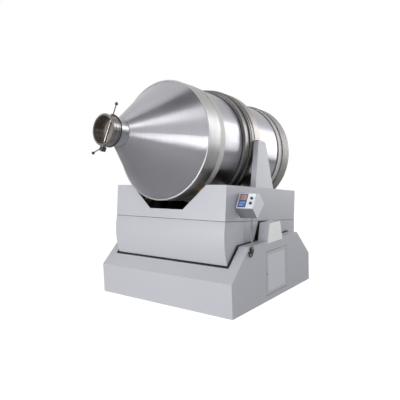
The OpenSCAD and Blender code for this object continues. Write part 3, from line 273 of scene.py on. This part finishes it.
disc_steel = turned_steel("disc_steel", (0.24, 0.21, 0.19), 0.20, 0.3, 0.3, 0.5, 60)
lever_black = plain("lever_black", (0.05, 0.05, 0.055), 0.32, 0.3)
# Near black for the mouth gasket and the casing joint, and painted shade on the dark beads beside
# the drum's tracks and centre ring.
rubber_joint_and_shade_black = plain("rubber_joint_and_shade_black", (0.012, 0.012, 0.013), 0.7)
panel_film = plain("panel_film", (0.80, 0.84, 0.90), 0.30, 0, 0.01, coat=0.3)
screen_black = plain("screen_black", (0.035, 0.035, 0.05), 0.22, coat=0.4)
screen_warm = plain("screen_warm", (0.38, 0.27, 0.28), 0.25, 0, 0.03, coat=0.4)
screen_blue = plain("screen_blue", (0.075, 0.20, 0.50), 0.25, 0, 0.03, coat=0.4)
knob_black = plain("knob_black", (0.020, 0.020, 0.022), 0.4)
knob_mark = plain("knob_mark", (0.62, 0.63, 0.66), 0.4)
conduit_black = plain("conduit_black", (0.025, 0.025, 0.028), 0.5)
post_finish = plain("post_finish", (0.22, 0.22, 0.235), 0.5)
painted_slot_shade = plain("painted_slot_shade", (0.006, 0.006, 0.006), 0.8)

looks = {
    "upper_casing": casing_paint, "front_skirt": skirt_paint, "rear_skirt": skirt_paint,
    "base_cover": base_paint, "right_tower_cover": right_tower_paint,
    "left_tower_cover": left_tower_paint,
    "right_post": post_paint, "left_post": post_paint, "service_door": door_paint,
    "console_box": console_paint, "drum_shell": drum_steel, "front_band": band_steel,
    "rear_band": rear_steel, "lifting_blades": drum_steel, "centre_ring": ring_steel,
    "arch_guard": arch_steel, "front_track": track_finish, "rear_track": track_finish,
    "drive_wheels": wheel_finish, "idle_wheels": wheel_finish,
    "front_thrust_wheel": wheel_finish, "rear_thrust_wheel": wheel_finish,
    "base_frame": frame_paint, "swing_frame": frame_paint, "swing_gearbox": motor_paint,
    "swing_motor": motor_paint, "drum_gearbox": motor_paint, "drum_motor": motor_paint,
    "trunnions": shaft_steel, "drive_shaft": shaft_steel, "idle_shaft": shaft_steel,
    "thrust_pins": shaft_steel, "rod_pin": shaft_steel, "swing_crank": shaft_steel,
    "connecting_rod": shaft_steel, "console_bracket": chain_steel,
    "pivot_bearing_bolts": bolt_zinc, "wheel_bearing_bolts": bolt_zinc,
    "arch_bolts": bolt_zinc, "door_latch": bolt_zinc, "pivot_bearings": bearing_iron,
    "wheel_bearings": bearing_iron, "drive_chain": chain_steel,
    "large_sprocket": chain_steel, "small_sprocket": chain_steel,
    "valve_body": valve_steel, "valve_disc": disc_steel, "valve_stem": lever_black,
    "valve_levers": lever_black, "mouth_gasket": rubber_joint_and_shade_black,
    "console_panel": panel_film, "screen_bezel": screen_black,
    "upper_display": screen_warm, "lower_display": screen_blue,
    "speed_knob": knob_black, "selector_knob": knob_black,
    "console_conduit": conduit_black, "conduit_gland": conduit_black,
    "console_post": post_finish,
}
for node_name, finish in looks.items():
    slots = nodes[node_name].material_slots
    for slot in slots:
        slot.material = finish
    if not slots:
        nodes[node_name].data.materials.append(finish)


# Pieces that only show: seams, weld beads, prints and marks
def piece(name, mesh, finish, body, place=None):
    obj = bpy.data.objects.new(name, mesh)
    bpy.context.scene.collection.objects.link(obj)
    mesh.materials.append(finish)
    if place is not None:
        obj.matrix_world = place
    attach(obj, body)


def box_mesh(name, boxes):
    bm = bmesh.new()
    for low, high in boxes:
        low, high = Vector(low), Vector(high)
        size = high - low
        grid = Matrix.Translation((low + high) / 2) @ Matrix.Diagonal((*size, 1))
        bmesh.ops.create_cube(bm, size=1, matrix=grid)
    mesh = bpy.data.meshes.new(name)
    bm.to_mesh(mesh)
    bm.free()
    return mesh


def lathe_mesh(name, profile, steps=96):
    """A ring about the local Y axis from (radius, y) points in a closed loop."""
    verts, faces = [], []
    count = len(profile)
    for k in range(steps):
        a = 2 * math.pi * k / steps
        for r, y in profile:
            verts.append((r * math.cos(a), y, r * math.sin(a)))
    for k in range(steps):
        for i in range(count):
            j = (i + 1) % count
            faces.append((k * count + i, k * count + j,
                          (k + 1) % steps * count + j, (k + 1) % steps * count + i))
    mesh = bpy.data.meshes.new(name)
    mesh.from_pydata(verts, [], faces)
    mesh.validate()
    bm = bmesh.new()
    bm.from_mesh(mesh)
    bmesh.ops.recalc_face_normals(bm, faces=bm.faces)
    bm.to_mesh(mesh)
    bm.free()
    mesh.shade_smooth()
    return mesh


def bead(y, r, size, sides=8):
    """A round bead's profile at a place along the drum."""
    return [(r + size * math.cos(2 * math.pi * k / sides),
             y + size * math.sin(2 * math.pi * k / sides)) for k in range(sides)]


on_drum = LEVEL @ Matrix.Translation((0, 0, DRUM_Z))

# The dark joint between the upper casing and the skirts, broken at the posts
JOINT_OUT = 0.0006
JOINT_IN = 0.003
JOINT_HALF = 0.0022
POST_HALF = 0.118
low_z, high_z = SEAM_Z - JOINT_HALF, SEAM_Z + JOINT_HALF
far_x, far_y = HALF_X + JOINT_OUT, HALF_Y + JOINT_OUT
seam = [((-far_x, -far_y, low_z), (far_x, -HALF_Y + JOINT_IN, high_z)),
        ((-far_x, HALF_Y - JOINT_IN, low_z), (far_x, far_y, high_z))]
for side in (-1, 1):
    for end in (-1, 1):
        y0, y1 = sorted((end * POST_HALF, end * HALF_Y))
        x0, x1 = sorted((side * (HALF_X - JOINT_IN), side * far_x))
        seam.append(((x0, y0, low_z), (x1, y1, high_z)))
piece("casing_seam", box_mesh("casing_seam", seam), rubber_joint_and_shade_black, "swing", LEVEL)


def prism_mesh(name, prisms):
    """Solids drawn as an outline in Y and Z between two X places."""
    bm = bmesh.new()
    for outline, x0, x1 in prisms:
        near = [bm.verts.new((x0, y, z)) for y, z in outline]
        far = [bm.verts.new((x1, y, z)) for y, z in outline]
        bm.faces.new(near)
        bm.faces.new(reversed(far))
        for k in range(len(outline)):
            j = (k + 1) % len(outline)
            bm.faces.new((near[k], far[k], far[j], near[j]))
    bmesh.ops.recalc_face_normals(bm, faces=bm.faces)
    mesh = bpy.data.meshes.new(name)
    bm.to_mesh(mesh)
    bm.free()
    return mesh


# Painted shade: near-black strips in the slot between the swing casing and the base stand in for
# the shade down in the slot
WALL_Z = 0.310
SLOPE = Vector((BASE_Y - LEDGE_Y, LEDGE_Z - WALL_Z))


def on_slope(reach, depth):
    """Where the base's front slope, moved in by a depth, is a distance from the rocking axis."""
    along = SLOPE.normalized()
    start = Vector((-BASE_Y, WALL_Z)) + Vector((along.y, -along.x)) * depth
    lead = start - Vector((0, PIVOT.z))
    middle = -lead.dot(along)
    return start + along * (middle - math.sqrt(reach ** 2 - lead.dot(lead) + middle ** 2))


SHADE_STRIP = 0.012
SHADE_STRIP_MORE = 0.006
SHADE_STRIP_CLEAR = 0.0035
SHADE_STRIP_EDGE = 0.001
FRONT_RISE = 0.004
SIDE_RISE = 0.009
SIDE_BACK = 0.004
SLOT_R = 0.7255
LEDGE_IN = 0.742
TOWER_Y = 0.160
outer_r, inner_r = SLOT_R - SHADE_STRIP_EDGE, SKIRT_R + SHADE_STRIP_CLEAR
outer_x, inner_x = LEDGE_IN - SHADE_STRIP_EDGE, HALF_X + SHADE_STRIP_CLEAR
top_z = LEDGE_Z + SIDE_RISE
across = [on_slope(outer_r, -FRONT_RISE), on_slope(inner_r, -FRONT_RISE),
          on_slope(inner_r, SHADE_STRIP - FRONT_RISE), on_slope(outer_r, SHADE_STRIP - FRONT_RISE)]
along = [on_slope(outer_r, -SIDE_RISE), (-LEDGE_Y - SIDE_RISE / 2, top_z), (-TOWER_Y, top_z),
         (-TOWER_Y, top_z - SHADE_STRIP), (-LEDGE_Y + SIDE_BACK, top_z - SHADE_STRIP),
         on_slope(outer_r, SHADE_STRIP + SHADE_STRIP_MORE - SIDE_RISE)]
prisms = []
for end in (1, -1):
    prisms.append(([(y * end, z) for y, z in across], -outer_x, outer_x))
    for side in (-1, 1):
        x0, x1 = sorted((side * inner_x, side * outer_x))
        prisms.append(([(y * end, z) for y, z in along], x0, x1))
piece("slot_shade_strip", prism_mesh("slot_shade_strip", prisms), painted_slot_shade, "root")

# Painted shade: a dark plate under the console's nose stands in for the shadow there
UNDER_OUTLINE = [(-0.5332, 0.9490), (-0.4590, 0.8540), (-0.4590, 0.8548), (-0.5332, 0.9502)]
UNDER_X = (0.7385, 0.9195)
piece("console_under_shade", prism_mesh("console_under_shade", [(UNDER_OUTLINE, *UNDER_X)]),
      plain("under_painted_shade", (0.20, 0.20, 0.22), 0.5), "root")

# Weld beads and edge lines of the drum: place along it, radius and size
weld = turned_steel("weld_steel", (0.36, 0.355, 0.35), 0.38, 0.3, 0.25)
edges = {"front_band_edge": (-0.7885, 0.5866, 0.0012), "front_band_rear": (-0.6135, 0.5872, 0.0024),
         "cone_neck_weld": (-1.3300, 0.1265, 0.0030), "rear_band_front": (0.6140, 0.5975, 0.0026)}
for name, (y, r, size) in edges.items():
    piece(name, lathe_mesh(name, bead(y, r, size)), weld, "drum", on_drum)

# Dark lines behind the valve and beside the tracks and the centre ring, given the same way: the one
# behind the valve is the mouth gasket's lip; the others are painted shade, black beads standing in
# for the shadow at the steps beside the tracks and the centre ring
gasket_lip_and_shade_lines = {"mouth_gasket_lip": (-1.4325, 0.1395, 0.0045),
           "track_shade_line_front": (-0.6125, 0.5770, 0.0045),
           "track_shade_line_rear": (-0.5320, 0.5760, 0.0032),
           "rear_track_shade_line": (0.5320, 0.5760, 0.0032),
           "ring_shade_line_front": (-0.2205, 0.5765, 0.0040),
           "ring_shade_line_rear": (-0.0600, 0.5765, 0.0040)}
for name, (y, r, size) in gasket_lip_and_shade_lines.items():
    piece(name, lathe_mesh(name, bead(y, r, size)), rubber_joint_and_shade_black, "drum", on_drum)

# Console prints on the face, in its own plane: marks round the knobs and bars on the displays
FACE_LEAN = math.radians(30)
FACE_CORNER = (0.735938, -0.533495, 0.950349)
FACE_DEEP = 0.154
PANEL_T = 0.003
PRINT_T = 0.0003
KNOB_X = 0.1488
KNOBS = {"speed_knob": 0.66, "selector_knob": 0.34}
SCALE_R = 0.0175
DOT_HALF = 0.0009
DOTS = 9
DOT_START, DOT_STEP = -40, 32.5
KNOB_TOP = PANEL_T + 0.0004 + 0.0175
LINE_HALF = 0.0008
LINE_RUN = (0.001, 0.0085)
SCREEN_TOP = 0.0062
RED_BARS = [((0.034, 0.118), (0.080, 0.124)), ((0.034, 0.098), (0.066, 0.106))]
PALE_BARS = [((0.034, 0.054), (0.086, 0.060)), ((0.034, 0.030), (0.070, 0.038))]
face = Matrix.Translation(FACE_CORNER) @ Matrix.Rotation(math.pi / 2 - FACE_LEAN, 4, "X")


def prints(rectangles, under):
    """Thin boxes on the face's plane at a height over it."""
    return [((*low, under), (*high, under + PRINT_T)) for low, high in rectangles]


dots = []
for share in KNOBS.values():
    for k in range(DOTS):
        a = math.radians(DOT_START + DOT_STEP * k)
        x, y = KNOB_X + SCALE_R * math.cos(a), share * FACE_DEEP + SCALE_R * math.sin(a)
        dots.append(((x - DOT_HALF, y - DOT_HALF), (x + DOT_HALF, y + DOT_HALF)))
bar_red = plain("bar_red", (0.45, 0.12, 0.13), 0.4)
bar_pale = plain("bar_pale", (0.36, 0.52, 0.80), 0.4)
for name, rectangles, height, finish, slot in (
        ("knob_scale", dots, PANEL_T, screen_black, "screen_frame"),
        ("upper_bars", RED_BARS, SCREEN_TOP, bar_red, "screen_warm"),
        ("lower_bars", PALE_BARS, SCREEN_TOP, bar_pale, "screen_blue")):
    piece(name, box_mesh(name, prints(rectangles, height)), finish, "root", face)
for body, share in KNOBS.items():
    y = share * FACE_DEEP
    line = [((KNOB_X - LINE_HALF, y + LINE_RUN[0]), (KNOB_X + LINE_HALF, y + LINE_RUN[1]))]
    piece(body + "_mark", box_mesh(body + "_mark", prints(line, KNOB_TOP)), knob_mark, body,
          face)


# Floor, world, lamps and camera
def show_white(tree, shaded, rays, out):
    """Shows plain white on the named rays and the shaded background on all others."""
    path = tree.nodes.new("ShaderNodeLightPath")
    total = path.outputs[rays[0]]
    for ray in rays[1:]:
        most = tree.nodes.new("ShaderNodeMath")
        most.operation = "MAXIMUM"
        tree.links.new(total, most.inputs[0])
        tree.links.new(path.outputs[ray], most.inputs[1])
        total = most.outputs[0]
    white = tree.nodes.new("ShaderNodeBackground")
    white.inputs["Color"].default_value = (1, 1, 1, 1)
    white.inputs["Strength"].default_value = 1.0
    mix = tree.nodes.new("ShaderNodeMixShader")
    tree.links.new(total, mix.inputs[0])
    tree.links.new(shaded, mix.inputs[1])
    tree.links.new(white.outputs[0], mix.inputs[2])
    tree.links.new(mix.outputs[0], out.inputs["Surface"])


world = bpy.data.worlds.new("studio")
bpy.context.scene.world = world
world.use_nodes = True
sky = world.node_tree.nodes["Background"]
sky.inputs["Color"].default_value = (0.97, 0.98, 1.0, 1)
sky.inputs["Strength"].default_value = 0.31
WHITE_RAYS = ("Is Camera Ray", "Is Glossy Ray", "Is Transmission Ray")
show_white(world.node_tree, sky.outputs[0], WHITE_RAYS, world.node_tree.nodes["World Output"])

FLOOR_HALF = 30
FLOOR_T = 0.02
FLOOR_SEEN = 0.80
FLOOR_MIRRORED = 0.05
FLOOR = ((-FLOOR_HALF, -FLOOR_HALF, -FLOOR_T), (FLOOR_HALF, FLOOR_HALF, 0))
floor_mesh = box_mesh("floor", [FLOOR])
floor = bpy.data.objects.new("floor", floor_mesh)
bpy.context.scene.collection.objects.link(floor)
floor_look = Nodes("floor_look")
floor_look.shader.inputs["Base Color"].default_value = (0.88, 0.88, 0.88, 1)
floor_look.shader.inputs["Roughness"].default_value = 0.9
floor_look.shader.inputs["Specular IOR Level"].default_value = 0.0
path = floor_look.add("ShaderNodeLightPath")
seen = floor_look.math("MULTIPLY", path.outputs["Is Camera Ray"], FLOOR_SEEN)
mirrored = floor_look.math("MULTIPLY", path.outputs["Is Glossy Ray"], FLOOR_MIRRORED)
seen = floor_look.math("ADD", seen, mirrored)
glow = floor_look.add("ShaderNodeEmission", {"Color": (1, 1, 1, 1), "Strength": 1.25})
mixed = floor_look.add("ShaderNodeMixShader", {0: seen, 1: floor_look.shader.outputs[0],
                                               2: glow.outputs[0]})
floor_look.tree.links.new(mixed.outputs[0],
                          floor_look.tree.nodes["Material Output"].inputs["Surface"])
floor_mesh.materials.append(floor_look.mat)


def lamp(name, place, target, size, watts, on_paint=True):
    """A soft lamp. One that isn't on the paint shows in reflections alone."""
    data = bpy.data.lights.new(name, "AREA")
    data.shape = "RECTANGLE"
    data.size, data.size_y = size
    data.energy = watts
    obj = bpy.data.objects.new(name, data)
    obj.location = place
    obj.visible_diffuse = on_paint
    obj.rotation_euler = (Vector(target) - Vector(place)).to_track_quat("-Z", "Y").to_euler()
    bpy.context.scene.collection.objects.link(obj)


lamp("front_key", (-1.4, -7.0, 0.9), (0, 0, 0.8), (3.2, 1.6), 228)
lamp("cone_high", (3.0, -2.9, 5.2), (0, -1.0, 1.6), (0.7, 1.6), 20)
lamp("cone_left", (-1.5, -3.0, 5.5), (0, -1.0, 1.6), (0.8, 1.6), 24, False)
lamp("barrel_side", (4.2, 2.4, 4.2), (0, 0, 1.7), (2.4, 2.0), 60, False)
lamp("cone_side", (4.8, -3.2, 1.65), (0, -1.0, 1.6), (0.4, 1.3), 37)
lamp("barrel_back", (3.0, 4.8, 2.4), (0.4, -0.2, 1.7), (1.8, 3.4), 78)

# A grey card over the machine, which the steel mirrors as the dark band on the cone
CARD = ((0.1, -2.4, 6.0), (2.5, 2.6, 6.02))
card = bpy.data.objects.new("overhead_card", box_mesh("overhead_card", [CARD]))
bpy.context.scene.collection.objects.link(card)
card.data.materials.append(plain("card_grey", (0.30, 0.30, 0.31), 0.9))

EYE = Vector((2.927, -3.870, 1.360))
AIM = Vector((-0.087, 0.0, 0.962))
ROLL = math.radians(-1.96)
LENS = 39.24
SENSOR = 36
CLIP_END = 100
back = (EYE - AIM).normalized()
right = Vector((0, 0, 1)).cross(back).normalized()
up = back.cross(right)
rolled_right = right * math.cos(ROLL) + up * math.sin(ROLL)
rolled_up = up * math.cos(ROLL) - right * math.sin(ROLL)
camera_data = bpy.data.cameras.new("camera")
camera_data.lens = LENS
camera_data.sensor_width = SENSOR
camera_data.clip_end = CLIP_END
camera = bpy.data.objects.new("camera", camera_data)
camera.matrix_world = Matrix((
    (rolled_right.x, rolled_up.x, back.x, EYE.x), (rolled_right.y, rolled_up.y, back.y, EYE.y),
    (rolled_right.z, rolled_up.z, back.z, EYE.z), (0, 0, 0, 1)))
bpy.context.scene.collection.objects.link(camera)
bpy.context.scene.camera = camera
bpy.context.scene.view_settings.view_transform = "Standard"
